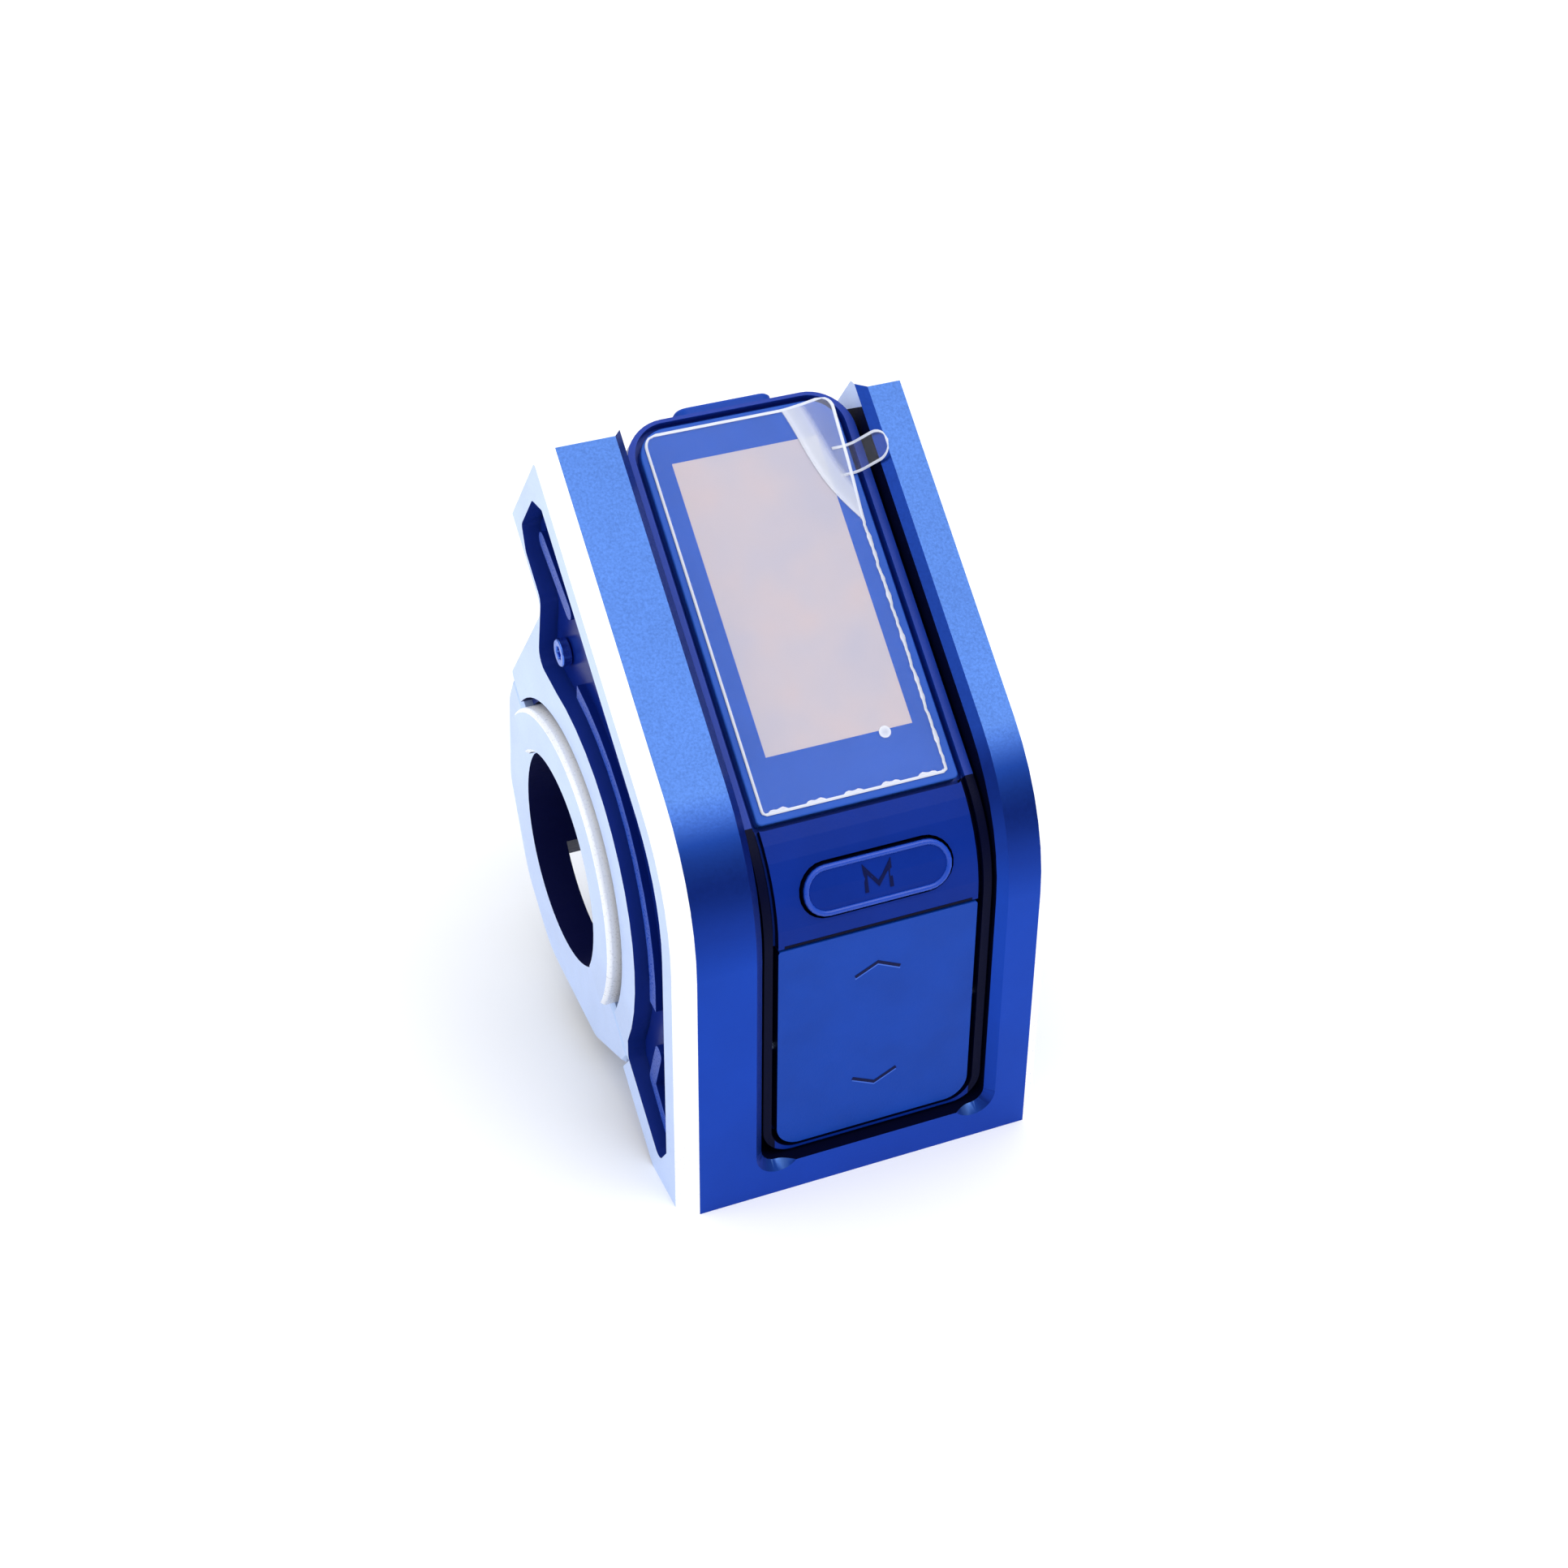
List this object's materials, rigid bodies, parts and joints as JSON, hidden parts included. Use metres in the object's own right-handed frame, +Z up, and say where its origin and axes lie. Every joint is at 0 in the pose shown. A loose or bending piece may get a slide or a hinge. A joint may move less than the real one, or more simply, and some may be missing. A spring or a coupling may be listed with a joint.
{
  "type": "handlebar display and key unit",
  "caption": "Small portrait display with a mode key, an up and down rocker and a power key, in a bent machined aluminium housing that clamps round a handlebar.",
  "frame": {"origin": "centre of the handlebar bore, on the housing's middle plane", "axes": "+X along the handlebar towards the rider's right, -Y out of the rocker key towards the rider, +Z up with the unit standing on its lower end; the screen leans back from the rocker plane by 51.2 degrees"},
  "size_m": [0.0404, 0.049, 0.0659],
  "materials": {
    "anodised_blue": "machined, fine-brushed and anodised",
    "anodised_pale": "machined and pale anodised",
    "liner_gloss": "glossy moulded",
    "screw_blue": "plated",
    "case_plastic": "fine satin",
    "cover_plastic": "fine satin",
    "seal_rubber": "matt",
    "window_glass": "clear, gloss",
    "clear_film": "clear plastic film",
    "display_panel": "smooth",
    "circuit_board": "solder resist",
    "key_plastic": "fine satin",
    "switch_plastic": "moulded",
    "screw_steel": "bright"
  },
  "bodies": {
    "unit": {"housing": "anodised_blue", "clamp_cap": "anodised_pale", "clamp_saddle": "anodised_pale", "side_liner_left": "liner_gloss", "side_liner_right": "liner_gloss", "liner_screw_left": "screw_blue", "liner_screw_right": "screw_blue", "module_case": "case_plastic", "module_cover": "cover_plastic", "case_gasket": "seal_rubber", "display_window": "window_glass", "protective_film": "clear_film", "oled_panel": "display_panel", "main_circuit_board": "circuit_board", "key_circuit": "circuit_board", "key_membrane": "seal_rubber", "rocker_pin": "screw_steel", "m_switch": "switch_plastic", "up_switch": "switch_plastic", "down_switch": "switch_plastic", "power_switch": "switch_plastic", "clamp_screw_1": "screw_steel", "case_screw_1": "screw_steel", "clamp_screw_2": "screw_steel", "case_screw_2": "screw_steel", "clamp_screw_3": "screw_steel", "case_screw_3": "screw_steel", "clamp_screw_4": "screw_steel", "case_screw_4": "screw_steel", "module_screw_1": "screw_steel", "module_screw_2": "screw_steel"},
    "mode_key": {"m_button": "key_plastic"},
    "rocker": {"rocker_key": "key_plastic"},
    "power_key": {"power_button": "key_plastic"}
  },
  "joints": [
    {"name": "mode_press", "type": "slide", "parent": "unit", "child": "mode_key", "axis": [0, 0.9348, -0.3551], "range_m": [0, 0.0004], "stiffness_N_per_m": 1000},
    {"name": "rocker_tilt", "type": "hinge", "parent": "unit", "child": "rocker", "pos_m": [0.00125, -0.02908, -0.00422], "axis": [1, 0, 0], "range_deg": [-2.5, 2.5], "stiffness_Nm_per_rad": 0.3},
    {"name": "power_press", "type": "slide", "parent": "unit", "child": "power_key", "axis": [0, -0.7793, -0.6266], "range_m": [0, 0.0004], "stiffness_N_per_m": 1000}
  ]
}
